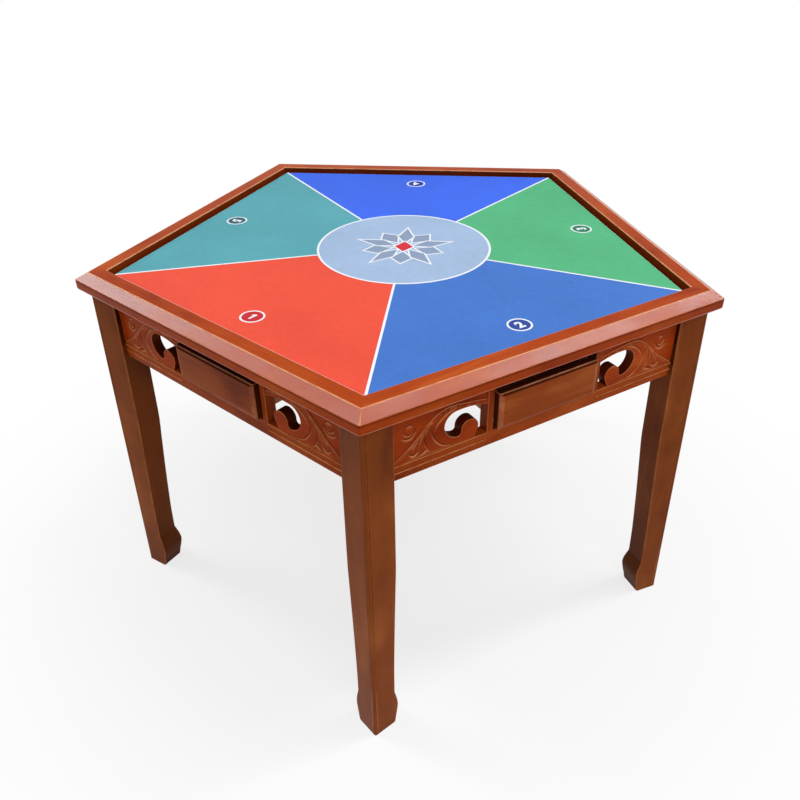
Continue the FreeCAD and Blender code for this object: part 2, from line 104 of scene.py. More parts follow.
class Nodes:
    """A node tree, with short calls for its nodes."""

    def __init__(self, tree):
        self.tree = tree

    def put(self, socket, value):
        """Links an output to a socket, or gives the socket a plain value."""
        if isinstance(value, bpy.types.NodeSocket):
            self.tree.links.new(value, socket)
        else:
            socket.default_value = value

    def add(self, kind, out=0, inputs=(), **settings):
        """One of the outputs of a new node."""
        node = self.tree.nodes.new("ShaderNode" + kind)
        for key, value in settings.items():
            setattr(node, key, value)
        for key, value in dict(inputs).items():
            self.put(node.inputs[key], value)
        return node.outputs[out]

    def math(self, operation, a, b):
        return self.add("Math", inputs={0: a, 1: b}, operation=operation)

    def swing(self, value, gain):
        """How far a noise strays from its middle value."""
        return self.math("MULTIPLY", self.math("SUBTRACT", value, 0.5), gain)

    def layer(self, name):
        """A mesh layer that says where stain, wear, painted shade and painted highlights lie."""
        return self.add("Attribute", out="Fac", attribute_name=name)

    def scaled(self, vector, scale):
        return self.add("VectorMath", inputs={0: vector, 1: scale}, operation="MULTIPLY")

    def noise(self, vector, scale=1.0, detail=3.0, roughness=0.5):
        return self.add("TexNoise", inputs={"Vector": vector, "Scale": scale, "Detail": detail,
                                            "Roughness": roughness})

    def ramp(self, value, low, high, to_low=0.0, to_high=1.0):
        return self.add("MapRange", inputs={"Value": value, "From Min": low, "From Max": high,
                                            "To Min": to_low, "To Max": to_high},
                        interpolation_type="SMOOTHSTEP")

    def mix(self, factor, a, b, blend="MIX"):
        return self.add("Mix", out=2, inputs={0: factor, 6: a, 7: b}, data_type="RGBA",
                        blend_type=blend, clamp_factor=True)

    def bump(self, height, strength, distance):
        return self.add("Bump", inputs={"Height": height, "Strength": strength,
                                        "Distance": distance})

    def seen(self):
        """1 for what the eye meets straight on or in a mirror, and 0 for light."""
        seen = self.add("LightPath", out="Is Camera Ray")
        for name in ("Is Glossy Ray", "Is Transmission Ray"):
            seen = self.math("MAXIMUM", seen, self.add("LightPath", out=name))
        return seen


class Shader(Nodes):
    """A new material's nodes."""

    def __init__(self, name):
        self.material = bpy.data.materials.new(name)
        self.material.use_nodes = True
        super().__init__(self.material.node_tree)
        self.surface = self.tree.nodes["Principled BSDF"]

    def set(self, **values):
        """The material, with these values on its surface's sockets."""
        for key, value in values.items():
            self.put(self.surface.inputs[key.replace("_", " ")], value)
        return self.material


def wood(name, dark, middle, light, contrast=0.7, gloss=0.21, specular=0.2,
         rubbed=(250, 180, 130), grain_along=0, drawn=True, dulled=False):
    """Stained wood, its grain along one axis of the board as it was drawn.

    Two layers paint it dark, with thick stain and with painted shade, and there dulled wood
    loses its gloss. Two more paint it pale, in the rubbed colour, as rubbed edges and painted
    highlights.
    """
    shader = Shader(name)
    if drawn:
        place = shader.add("Attribute", out="Vector", attribute_name="grain")
    else:
        place = shader.add("TexCoord", out="Object")

    def stretched(along, across):
        scale = [across] * 3
        scale[grain_along] = along
        return shader.scaled(place, scale)

    drift = shader.swing(shader.noise(stretched(2.2, 9.0), detail=2.0), 5.0)
    wavy = shader.add("VectorMath", inputs={0: stretched(0.9, 30.0), 1: drift}, operation="ADD")
    figure = shader.noise(wavy, detail=3.0, roughness=0.55)
    fibres = shader.noise(stretched(22.0, 620.0), detail=4.0, roughness=0.65)
    pores = shader.noise(stretched(55.0, 1500.0), detail=1.0)
    stain = shader.noise(stretched(5.0, 7.0), detail=2.0, roughness=0.6)
    patches = shader.noise(place, scale=38.0, detail=2.0)

    tone = shader.math("ADD", shader.swing(figure, 1.1 * contrast),
                       shader.swing(fibres, 0.55 * contrast))
    tone = shader.math("ADD", tone, shader.swing(stain, 1.25))
    tone = shader.math("ADD", tone, 0.5)
    colour = shader.mix(shader.ramp(tone, 0.1, 0.5), srgb(*dark), srgb(*middle))
    colour = shader.mix(shader.ramp(tone, 0.5, 0.9), colour, srgb(*light))
    pore = shader.ramp(pores, 0.60, 0.72, 0.0, 0.35 * contrast)
    colour = shader.mix(pore, colour, srgb(*[0.55 * value for value in dark]))

    # Thick stain and painted shade darken it towards half its dark colour.
    carved = shader.math("MAXIMUM", shader.layer("stain_and_shade"),
                         shader.math("MULTIPLY", shader.layer("shade"), 1.5))
    dark_stain_and_shade = srgb(*[0.5 * value for value in dark])
    colour = shader.mix(shader.math("MULTIPLY", carved, 0.6), colour, dark_stain_and_shade)
    # Rubbed edges and painted highlights: a pale colour, mixed in in patches.
    rubbed_and_highlit = shader.math("MULTIPLY", shader.layer("rubbed_and_highlit"), shader.ramp(patches, 0.3, 0.65, 0.25, 0.6))
    lip_highlight = shader.math("MULTIPLY", shader.layer("lip_highlight"), shader.ramp(patches, 0.3, 0.65, 0.55, 0.95))
    rubbed_and_highlight_colour = srgb(*[0.5 * (value + hint) for value, hint in zip(light, rubbed)])
    colour = shader.mix(shader.math("MAXIMUM", rubbed_and_highlit, lip_highlight), colour, rubbed_and_highlight_colour)

    roughness = shader.math("ADD", shader.ramp(stain, 0.3, 0.7, gloss - 0.05, gloss + 0.07),
                            shader.math("MULTIPLY", fibres, 0.06))
    relief = shader.math("ADD", shader.math("MULTIPLY", fibres, 0.6),
                         shader.math("MULTIPLY", figure, 0.8))
    normal = shader.bump(relief, 0.22, 0.0004)
    if dulled:
        specular = shader.ramp(carved, 0.0, 0.25, specular, 0.1 * specular)
    return shader.set(Base_Color=colour, Roughness=roughness, Normal=normal,
                      Specular_IOR_Level=specular)


def printed_cloth(name, colour):
    """Close-woven printed cloth: fine crossed threads, cloudy print and a little lint."""
    shader = Shader(name)
    place = shader.add("TexCoord", out="Object")
    cloud = shader.noise(place, scale=5.0, detail=4.0, roughness=0.6)
    mottle = shader.noise(place, scale=90.0, detail=3.0, roughness=0.7)
    tint = shader.math("ADD", shader.ramp(cloud, 0.25, 0.75, 0.93, 1.05),
                       shader.ramp(mottle, 0.3, 0.7, -0.03, 0.03))
    cloudy = shader.add("CombineColor", inputs={0: tint, 1: tint, 2: tint})
    base = shader.mix(1.0, srgb(*colour), cloudy, "MULTIPLY")
    specks = shader.noise(shader.scaled(place, (1.0, 3.1, 1.0)), scale=160.0, detail=2.0)
    lint = shader.ramp(specks, 0.71, 0.76, 0.0, 0.22)
    base = shader.mix(lint, base, srgb(225, 222, 214))
    cut_edge = shader.math("MULTIPLY", shader.layer("rubbed_and_highlit"), 0.45)
    base = shader.mix(cut_edge, base, srgb(225, 232, 230))
    threads = {"Vector": place, "Scale": 330.0, "Distortion": 0.4, "Detail": 1.0,
               "Detail Scale": 3.0}
    weft = shader.add("TexWave", out="Fac", inputs=threads)
    warp = shader.add("TexWave", out="Fac", inputs=threads, bands_direction="Y")
    weave = shader.math("ADD", shader.math("MULTIPLY", weft, warp),
                        shader.math("MULTIPLY", mottle, 0.8))
    normal = shader.bump(weave, 0.25, 0.0002)
    roughness = shader.ramp(cloud, 0.2, 0.8, 0.50, 0.62)
    return shader.set(Base_Color=base, Roughness=roughness, Normal=normal, Sheen_Weight=0.05,
                      Sheen_Roughness=0.4, Specular_IOR_Level=0.15)


def print_ink(name, colour):
    """Thick screen-printed ink, with the weave just showing through."""
    shader = Shader(name)
    place = shader.add("TexCoord", out="Object")
    patch = shader.noise(place, scale=140.0, detail=3.0, roughness=0.7)
    rubbed = shader.ramp(patch, 0.66, 0.8, 0.0, 0.35)
    base = shader.mix(rubbed, srgb(*colour), srgb(*[0.78 * value for value in colour]))
    normal = shader.bump(patch, 0.2, 0.0002)
    roughness = shader.ramp(patch, 0.3, 0.7, 0.45, 0.6)
    return shader.set(Base_Color=base, Roughness=roughness, Normal=normal)


def brushed_steel(name):
    """Steel with fine scratches and dull spots."""
    shader = Shader(name)
    place = shader.add("TexCoord", out="Object")
    scratch = shader.noise(shader.scaled(place, (300.0, 300.0, 2500.0)), detail=3.0)
    spots = shader.noise(place, scale=80.0, detail=3.0)
    base = shader.mix(shader.ramp(spots, 0.4, 0.7), srgb(188, 186, 180), srgb(150, 146, 138))
    roughness = shader.ramp(scratch, 0.3, 0.7, 0.28, 0.42)
    return shader.set(Base_Color=base, Metallic=1.0, Roughness=roughness,
                      Normal=shader.bump(scratch, 0.15, 0.0002))


# ---- mesh helpers ----
SHARP_ANGLE = math.radians(35)


def marked_mesh():
    """An empty bmesh with the layers that say how the wood of each face looks."""
    mesh = bmesh.new()
    for layer in ("stain_and_shade", "shade", "rubbed_and_highlit"):
        mesh.faces.layers.float.new(layer)
    return mesh


def drawn_mesh(name, mesh, *materials):
    """A mesh from a bmesh, smooth but for its sharp edges."""
    data = bpy.data.meshes.new(name)
    mesh.to_mesh(data)
    mesh.free()
    for material in materials:
        data.materials.append(material)
    data.polygons.foreach_set("use_smooth", [True] * len(data.polygons))
    data.set_sharp_from_angle(angle=SHARP_ANGLE)
    return data


def piece(name, drawn, azimuth, body, nodes=()):
    """One visible piece: a copy of the drawn mesh, turned into place, that rides on its body.

    Its grain attribute holds each point as drawn, shifted so that no two boards look alike.
    """
    data = drawn.copy()
    data.name = name
    chance = random.Random(name)
    shift = [chance.uniform(-5, 5) for _ in range(3)]
    grain = data.attributes.new("grain", "FLOAT_VECTOR", "POINT")
    for vertex, place in zip(data.vertices, grain.data):
        place.vector = vertex.co + Vector(shift)
    data.transform(turned(azimuth))
    made = bpy.data.objects.new(name, data)
    bpy.context.scene.collection.objects.link(made)
    weighted = made.modifiers.new("weighted_normals", "WEIGHTED_NORMAL")
    weighted.keep_sharp = True
    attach(made, body)
    if nodes:
        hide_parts(*nodes)
    return made


def eased(node, azimuth, edge_radius, least_angle=26):
    """A solid's mesh, drawn facing -Y, its edges eased, rubbed as with sandpaper and painted pale
    as highlights.

    Edges that turn by less than the least angle, in degrees, belong to curved faces.
    """
    mesh = marked_mesh()
    mesh.from_mesh(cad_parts[node].data)
    mesh.transform(turned(azimuth).inverted())
    bmesh.ops.remove_doubles(mesh, verts=mesh.verts, dist=1e-5)
    bmesh.ops.dissolve_limit(mesh, angle_limit=math.radians(1), verts=mesh.verts, edges=mesh.edges)
    hard = [edge for edge in mesh.edges
            if edge.is_manifold and edge.calc_face_angle() > math.radians(least_angle)]
    eased_off = bmesh.ops.bevel(mesh, geom=hard, offset=edge_radius, offset_type="OFFSET",
                                segments=3, profile=0.5, affect="EDGES", clamp_overlap=True,
                                loop_slide=True)
    for face in eased_off["faces"]:
        face[mesh.faces.layers.float["rubbed_and_highlit"]] = 1.0
    mesh.normal_update()
    return mesh


def mark(mesh, layer, value, test):
    """Gives the faces that pass a test on normal and middle a value in one of the layers."""
    values = mesh.faces.layers.float[layer]
    for face in mesh.faces:
        if test(face.normal, face.calc_center_median()):
            face[values] = value


def mark_rail(mesh):
    """A rail's two beads, which stand out from its face, are painted pale above, as a highlight,
    and dark below, as shade.
    """
    mark(mesh, "rubbed_and_highlit", 1.9,
         lambda normal, place: -place.y > APRON_FACE + 0.0002 and normal.z > 0.45)
    mark(mesh, "stain_and_shade", 1.5,
         lambda normal, place: -place.y > APRON_FACE + 0.0001 and normal.z < -0.4)


def mark_top_rail(mesh):
    """The rim's overhang keeps the light off the whole of the top rail, so it is all painted in
    shade.
    """
    mark(mesh, "rubbed_and_highlit", 0.0, lambda normal, place: True)
    mark(mesh, "shade", 0.7, lambda normal, place: True)


def mark_posts(mesh):
    """The narrow gap beside the drawer is painted dark as shade."""
    mark(mesh, "shade", 1.0, lambda normal, place: normal.x * place.x < -0.7 * abs(place.x))


def mark_drawer_front(mesh):
    """The gaps round the board and its upper bevel are painted dark as shade, and its arrises are
    painted pale as highlights, the top one most.
    """
    low, high = 0.3, 0.53       # the upper bevel's normal rises by an amount between these
    mark(mesh, "shade", 1.0, lambda normal, place: abs(normal.y) < 0.05 or low < normal.z < high)
    mark(mesh, "rubbed_and_highlit", 0.0, lambda normal, place: normal.z < high)
    mark(mesh, "rubbed_and_highlit", 2.0, lambda normal, place: high < normal.z < 0.99)
    mark(mesh, "rubbed_and_highlit", 0.5, lambda normal, place: normal.z < 0.1 and 0.1 < abs(normal.x) < 0.99)


# ---- outlines ----
def smoothstep(low, high, value):
    """A smooth change from 0 at the low value to 1 at the high one."""
    t = min(max((value - low) / (high - low), 0), 1)
    return t * t * (3 - 2 * t)


def arc(start, middle, end, count):
    """Points from start to end on the circle through three points."""
    (ax, ay), (bx, by), (cx, cy) = start, middle, end
    squares = [x * x + y * y for x, y in (start, middle, end)]
    double = 2 * (ax * (by - cy) + bx * (cy - ay) + cx * (ay - by))
    x = (squares[0] * (by - cy) + squares[1] * (cy - ay) + squares[2] * (ay - by)) / double
    y = (squares[0] * (cx - bx) + squares[1] * (ax - cx) + squares[2] * (bx - ax)) / double
    radius = math.hypot(ax - x, ay - y)
    first, through, last = (math.atan2(py - y, px - x) for px, py in (start, middle, end))
    sweep = (last - first) % math.tau
    if (through - first) % math.tau > sweep:
        sweep -= math.tau
    angles = [first + sweep * step / count for step in range(count + 1)]
    return [(x + radius * math.cos(angle), y + radius * math.sin(angle)) for angle in angles]


def rounded(corners, segments=4):
    """Points round a closed outline of (x, y, radius) corners."""
    points = []
    for i, (x, y, radius) in enumerate(corners):
        here = Vector((x, y))
        if not radius:
            points.append(here)
            continue
        back = (Vector(corners[i - 1][:2]) - here).normalized()
        ahead = (Vector(corners[(i + 1) % len(corners)][:2]) - here).normalized()
        half = back.angle(ahead) / 2
        centre = here + (back + ahead).normalized() * radius / math.sin(half)
        start = here + back * radius / math.tan(half) - centre
        end = here + ahead * radius / math.tan(half) - centre
        points += [centre + start.lerp(end, step / segments).normalized() * radius
                   for step in range(segments + 1)]
    return points


def polar(radius, degrees, centre=(0.0, 0.0)):
    """The point at a distance and direction from a centre."""
    angle = math.radians(degrees)
    return centre[0] + radius * math.cos(angle), centre[1] + radius * math.sin(angle)


def circle(radius, count, centre):
    return [polar(radius, 360 * step / count, centre) for step in range(count)]


def join_rings(mesh, rings):
    """Faces between each closed ring of vertices and the next."""
    for a, b in zip(rings, rings[1:]):
        for i in range(len(a)):
            j = (i + 1) % len(a)
            mesh.faces.new((a[i], a[j], b[j], b[i]))


def add_slab(mesh, outline, low, high, material=0):
    """A flat closed plate on an outline."""
    lower = [mesh.verts.new((x, y, low)) for x, y in outline]
    upper = [mesh.verts.new((x, y, high)) for x, y in outline]
    faces = [mesh.faces.new(upper), mesh.faces.new(list(reversed(lower)))]
    for i in range(len(outline)):
        j = (i + 1) % len(outline)
        faces.append(mesh.faces.new((lower[i], lower[j], upper[j], upper[i])))
    for face in faces:
        face.material_index = material


def add_band(mesh, outer, inner, low, high):
    """A flat closed plate between two outlines with equally many points."""
    rings = [[mesh.verts.new((x, y, z)) for x, y in outline]
             for outline, z in ((outer, low), (outer, high), (inner, high), (inner, low))]
    join_rings(mesh, rings + rings[:1])


# ---- rim ----
BEVEL_DROP, BEVEL_WIDTH = 0.0124, 0.0217
BEVEL_FOOT = TABLE_TOP - BEVEL_DROP
STRIP_FOOT = BEVEL_FOOT - 0.0045    # of a strip under the bevel that is painted dark, as shade
CORNER_ROUND, LEAST_ROUND = 0.005, 0.0003
TURN_STEPS = 6
JOINT = 0.0003                      # a mitre joint's eased edge
# The corners of the section: distance from the table's axis, height and radius.
RIM_SECTION = ((EDGE - RIM_WIDTH, RIM_BOTTOM, 0), (EDGE, RIM_BOTTOM, 0.006),
               (EDGE, STRIP_FOOT, 0), (EDGE, BEVEL_FOOT, 0.0017),
               (EDGE - BEVEL_WIDTH, TABLE_TOP, 0.0048), (EDGE - RIM_WIDTH, TABLE_TOP, 0.0022))


def mark_rim(mesh):
    """The rim is painted dark as shade on its edges, underside and inner wall, and painted pale as
    highlights along its bevel and arrises.
    """
    for layer, value, test in (
            ("stain_and_shade", 0.2, lambda normal, place: normal.y < -0.3 and abs(normal.z) < 0.1),
            ("stain_and_shade", 0.9, lambda normal, place: abs(normal.z) < 0.1 and place.z > STRIP_FOOT),
            ("stain_and_shade", 0.8, lambda normal, place: normal.z < -0.97),
            ("stain_and_shade", 1.1, lambda normal, place: normal.y > 0.7 and abs(normal.z) < 0.15),
            ("rubbed_and_highlit", 0.5, lambda normal, place: normal.y < 0 and 0.1 < normal.z < 0.85),
            ("rubbed_and_highlit", 0.3, lambda normal, place: -0.5 < normal.z < -0.1),
            ("rubbed_and_highlit", 2.2, lambda normal, place: normal.y < 0 and 0.875 < normal.z < 0.9995),
            ("rubbed_and_highlit", 2.4, lambda normal, place: normal.y > 0.15 and normal.z > 0.15)):
        mark(mesh, layer, value, test)


def rim_mesh():
    """A rim board: its section carried along the side and half way round each corner."""
    section = rounded(RIM_SECTION, 6)
    mesh = marked_mesh()
    turns = [HALF_ANGLE * step / TURN_STEPS for step in range(TURN_STEPS + 1)]
    rings = []
    for side, angles in ((-1, reversed(turns)), (1, turns)):
        for angle in angles:
            ring = []
            for distance, z in section:
                radius = max(LEAST_ROUND, CORNER_ROUND - (EDGE - distance))
                middle = distance - radius
                ring.append(mesh.verts.new((side * (middle * TAN_HALF + radius * math.sin(angle)),
                                            -middle - radius * math.cos(angle), z)))
            rings.append(ring)
    join_rings(mesh, rings)
    ends = [mesh.faces.new(rings[0]), mesh.faces.new(list(reversed(rings[-1])))]
    bmesh.ops.recalc_face_normals(mesh, faces=mesh.faces)
    mark_rim(mesh)
    joints = bmesh.ops.bevel(mesh, geom=[edge for face in ends for edge in face.edges],
                             offset=JOINT, offset_type="OFFSET", segments=1, profile=0.5,
                             affect="EDGES", clamp_overlap=True)
    for face in joints["faces"]:
        face[mesh.faces.layers.float["rubbed_and_highlit"]] = 0.0
        face[mesh.faces.layers.float["stain_and_shade"]] = 1.5
    return mesh


# ---- legs ----
LEG_SETBACK = 0.0181
LEG_SPLAY = 0.0174
LEG_TOP_RADIUS = (EDGE - LEG_SETBACK) / COS_HALF
LEG_FACE = 0.060
LEG_TURN = math.radians(9)      # from an apron to the leg's face beside it
DIAGONAL = math.sqrt(0.5)
ANKLE = 0.088
# A leg's face by height: the hoof with a crease above it, then the shaft.
HOOF_FACES = ((0.0, 0.0490), (0.002, 0.0510), (0.0132, 0.0527), (0.0326, 0.0562),
              (0.0484, 0.0580), (0.0616, 0.0567), (0.0757, 0.0536), (ANKLE, 0.0506))
SHAFT_FACES = ((ANKLE, 0.0506), (0.1436, 0.0510), (0.1992, 0.0524), (0.2809, 0.0551),
               (0.3496, 0.0578), (0.415, LEG_FACE), (RIM_BOTTOM, LEG_FACE))
HOOF_LEVELS = [0.0, 0.002] + [0.004 + 0.004 * step for step in range(21)]
SHAFT_LEVELS = ([0.089, 0.092, 0.1] + [0.12 + 0.02 * step for step in range(15)]
                + [0.415, 0.5, 0.582, 0.605, 0.65, APRON_TOP, RIM_BOTTOM])
BEAD_WIDTH, BEAD_GROOVE, BEAD_DEPTH = 0.0055, 0.0024, 0.0014
BEAD_FADE = (0.02, 0.3)         # the heights between which the groove deepens
BEAD_ROUND, GROOVE_ROUND, SIDE_ROUND, INNER_ROUND = 0.004, 0.0004, 0.0022, 0.005
ROUND_FACE = 0.0012             # faces narrower than this belong to the rounds
LOW_SHADE, APRON_SHADE = (0.3, 0.06), (0.57, 0.68)  # the heights between which they deepen


def steady(rows, at):
    """A smooth value between the (place, value) rows of a table, with no overshoot."""
    steps = [(b[1] - a[1]) / (b[0] - a[0]) for a, b in zip(rows, rows[1:])]
    slopes = [0 if p * q <= 0 else 2 * p * q / (p + q) for p, q in zip(steps, steps[1:])]
    slopes = steps[:1] + slopes + steps[-1:]
    i = max(k for k in range(len(rows) - 1) if rows[k][0] <= at)
    (x0, y0), (x1, y1) = rows[i], rows[i + 1]
    width = x1 - x0
    t = (at - x0) / width
    return ((2 * t ** 3 - 3 * t ** 2 + 1) * y0 + (t ** 3 - 2 * t ** 2 + t) * width * slopes[i]
            + (3 * t ** 2 - 2 * t ** 3) * y1 + (t ** 3 - t ** 2) * width * slopes[i + 1])


def leg_radius(z):
    return LEG_TOP_RADIUS + LEG_SPLAY * (1 - z / RIM_BOTTOM)


def leg_outline(z):
    """A leg's section at a height: one half of it, the inner corner and the other half."""
    face = steady(HOOF_FACES if z < ANKLE else SHAFT_FACES, z)
    corner_y = -leg_radius(z)
    groove = BEAD_DEPTH * smoothstep(*BEAD_FADE, z)

    def on_face(distance, depth, radius):
        """A corner on the right-hand face, that far from the leg's outer corner and that deep."""
        return ((distance - depth) * DIAGONAL, corner_y + (distance + depth) * DIAGONAL, radius)

    half = [on_face(BEAD_WIDTH, 0, GROOVE_ROUND), on_face(BEAD_WIDTH + BEAD_GROOVE / 2, groove, 0),
            on_face(BEAD_WIDTH + BEAD_GROOVE, 0, GROOVE_ROUND), on_face(face, 0, SIDE_ROUND)]
    inner = (0, corner_y + face * math.sqrt(2), INNER_ROUND)
    mirrored = [(-x, y, radius) for x, y, radius in reversed(half)]
    return rounded([(0, corner_y, BEAD_ROUND)] + half + [inner] + mirrored)


def leg_mesh():
    """A leg, square in section, with its beaded outer corner to the front."""
    mesh = marked_mesh()
    stain_and_shade, shade, rubbed_and_highlit = (mesh.faces.layers.float[name] for name in ("stain_and_shade", "shade", "rubbed_and_highlit"))
    rings = [[mesh.verts.new((x, y, z)) for x, y in leg_outline(z)]
             for z in HOOF_LEVELS + SHAFT_LEVELS]
    join_rings(mesh, rings)
    # The narrow faces of the rounds are painted pale, as wear and highlights.
    for face in mesh.faces:
        face[rubbed_and_highlit] = 0.6 if (face.verts[0].co - face.verts[1].co).length < ROUND_FACE else 0.0
    mesh.faces.new(list(reversed(rings[0])))
    mesh.faces.new(rings[-1])
    bmesh.ops.recalc_face_normals(mesh, faces=mesh.faces)
    # The two faces that the aprons meet are painted darker as shade, most of all low down, in the
    # crease above the hoof and beside the aprons.
    for face in mesh.faces:
        if face.normal.y > 0.3:
            height = max(vertex.co.z for vertex in face.verts)
            in_crease = ANKLE < height < ANKLE + 0.0015
            face[stain_and_shade] = 0.6 + 0.4 * smoothstep(*LOW_SHADE, height)
            face[shade] = 0.75 if in_crease else smoothstep(*APRON_SHADE, height)
    return mesh


# ---- carved panels, drawn in millimetres from the post and up from the rail ----
MM = 0.001
PANEL_TOP = (APRON_TOP - RAIL_TOP) / MM
PANEL_ROUND = 0.0012


def leg_side(z):
    """Where the leg's face meets the panel's face at a height."""
    face = leg_radius(z) * DIAGONAL - LEG_FACE
    return ((face - APRON_FACE * math.sin(LEG_TURN)) / math.cos(LEG_TURN) - POST_OUTER) / MM


LEG_SIDE_TOP, LEG_SIDE_FOOT = leg_side(APRON_TOP), leg_side(RAIL_TOP)
BALL_CENTRE, BALL_RADIUS = (34.0, 22.0), 17.0
BALL_NECK, BALL_CROWN, BALL_CUSP = (polar(BALL_RADIUS, degrees, BALL_CENTRE)
                                    for degrees in (198, 90, -8))
HOLE_LOW, HOLE_FAR, HOLE_HIGH, HOLE_END = (57.5, 13.5), (83.5, 39.5), (59.0, 64.3), (0.0, 56.5)
PANEL_OUTLINE = ([(0.0, PANEL_TOP), (LEG_SIDE_TOP, PANEL_TOP), (LEG_SIDE_FOOT, 0.0), (25.0, 0.0)]
                 + arc(BALL_NECK, BALL_CROWN, BALL_CUSP, 22)
                 + arc(BALL_CUSP, (53.0, 15.0), HOLE_LOW, 4)[1:]
                 + arc(HOLE_LOW, (75.0, 21.5), HOLE_FAR, 14)[1:]
                 + arc(HOLE_FAR, (77.5, 56.0), HOLE_HIGH, 12)[1:]
                 + arc(HOLE_HIGH, (30.0, 63.5), HOLE_END, 14)[1:])

# The line between the raised leaves and the sunk ground above, from leg to post.
SKYLINE = ((195, -4), (178, 6.5), (164, 16), (149, 26.5), (137, 37), (124, 50), (112, 61.5),
           (101, 69.5), (89, 75), (74, 77.8), (60, 77.2), (44, 74.4), (22, 71.4), (-3, 67))
# Gouged lines: points, half width, depth.
STROKES = (
    # the band round the hole
    (((62, 73.5), (79, 67.5), (91, 59), (99, 50), (102, 43)), 1.3, 1.2),
    (((108.5, 49), (107.5, 38), (102, 24.5), (92, 12.5), (80, 5.5), (66, 3)), 1.1, 1.3),
    # the leaves' veins
    (((111, 60.5), (117, 50), (121, 37), (120, 22), (114, 9), (108, 3)), 1.1, 1.2),
    (((122, 45), (127, 36), (131, 26), (132.5, 17)), 1.0, 1.1),
    (((134, 35), (140, 27), (144, 20)), 0.9, 0.9),
    # the leaves' tips
    (((133.5, 3.5), (125, 6.5), (116, 11.5)), 1.9, 1.6),
    (((150, 15), (146.5, 10), (140, 8.5), (133, 14)), 1.3, 1.4),
    # the scroll's eye
    (((162, 48), (155, 43.5), (147, 43), (141, 47.5), (138, 55), (140, 62)), 1.3, 1.4),
    (((156, 63), (158, 57), (154, 51), (148, 49.5), (144.5, 52.5)), 1.2, 1.4),
    (((153, 65), (148.5, 68), (143, 66.5)), 1.3, 1.5),
)
# How far beside each line the rows of points lie that carry its relief.
SKYLINE_ROWS = (-4.6, -3.4, -2.5, -1.6, -0.7, 0.1, 0.9, 1.8, 3.2)
STROKE_ROWS = (-2.8, -1.9, -1.1, -0.5, 0, 0.5, 1.1, 1.9, 2.8)
ROW_GAP, FIELD_GAP = 0.45, 1.5  # the least distance between points near the lines and elsewhere
FIELD_PITCH = 2.6
BORDER = 0.7                    # points keep this far from the panel's outline
CELL = 3                        # points are looked up in square cells of this size


def near_line(points, at):
    """Distance from a polyline, the side it is on, and how far along it is, from 0 to 1."""
    best = (math.inf, 0, 0)
    lengths = [math.dist(a, b) for a, b in zip(points, points[1:])]
    before = 0.0
    for (ax, ay), (bx, by), length in zip(points, points[1:], lengths):
        dx, dy = (bx - ax) / length, (by - ay) / length
        along = min(max((at[0] - ax) * dx + (at[1] - ay) * dy, 0), length)
        away = math.hypot(at[0] - ax - dx * along, at[1] - ay - dy * along)
        if away < best[0]:
            side = 1 if dx * (at[1] - ay) - dy * (at[0] - ax) < 0 else -1
            best = (away, side, (before + along) / sum(lengths))
        before += length
    return best


def smooth_line(points, spacing):
    """A polyline through the points, bent smoothly."""
    result = []
    count = len(points)
    for i in range(count - 1):
        p0, p1, p2, p3 = (Vector(points[min(max(k, 0), count - 1)])
                          for k in (i - 1, i, i + 1, i + 2))
        steps = max(1, round((p2 - p1).length / spacing))
        for step in range(steps):
            t = step / steps
            result.append(tuple(0.5 * (2 * p1 + (p2 - p0) * t
                                       + (2 * p0 - 5 * p1 + 4 * p2 - p3) * t ** 2
                                       + (3 * p1 - p0 - 3 * p2 + p3) * t ** 3)))
    return result + [tuple(points[-1])]


SMOOTH_SKYLINE = smooth_line(SKYLINE, 3.0)
SMOOTH_STROKES = [(smooth_line(points, 3.0), width, depth) for points, width, depth in STROKES]


def relief(at):
    """How far the carving goes in at a point: the whole of it, and the gouges alone."""
    away, side, along = near_line(SMOOTH_SKYLINE, at)
    above = away * side
    ground = 1.9 * smoothstep(-0.3, 1.5, above)
    gouges = 0.9 * math.exp(-((above + 2.5) / 0.9) ** 2)
    for points, width, depth in SMOOTH_STROKES:
        away, side, along = near_line(points, at)
        if away < 3 * width:
            taper = smoothstep(-0.15, 0.25, along) * smoothstep(-0.15, 0.25, 1 - along)
            gouges = max(gouges, depth * taper * math.exp(-(away / width) ** 2))
    hollow = 0.5 * smoothstep(2.0, 9.0, -above)
    hollow = hollow * smoothstep(60, 100, at[0]) * smoothstep(150, 120, at[0])
    return ground + gouges + hollow, gouges


def inside(outline, at):
    """True for a point inside a closed outline and well clear of it."""
    x, y = at
    crossings = 0
    for (ax, ay), (bx, by) in zip(outline, outline[1:] + outline[:1]):
        if (ay > y) != (by > y) and x < ax + (y - ay) / (by - ay) * (bx - ax):
            crossings += 1
        length = math.hypot(bx - ax, by - ay) or 1e-9
        along = min(max(((x - ax) * (bx - ax) + (y - ay) * (by - ay)) / length, 0), length)
        if math.hypot(x - ax - (bx - ax) * along / length,
                      y - ay - (by - ay) * along / length) < BORDER:
            return False
    return crossings % 2 == 1


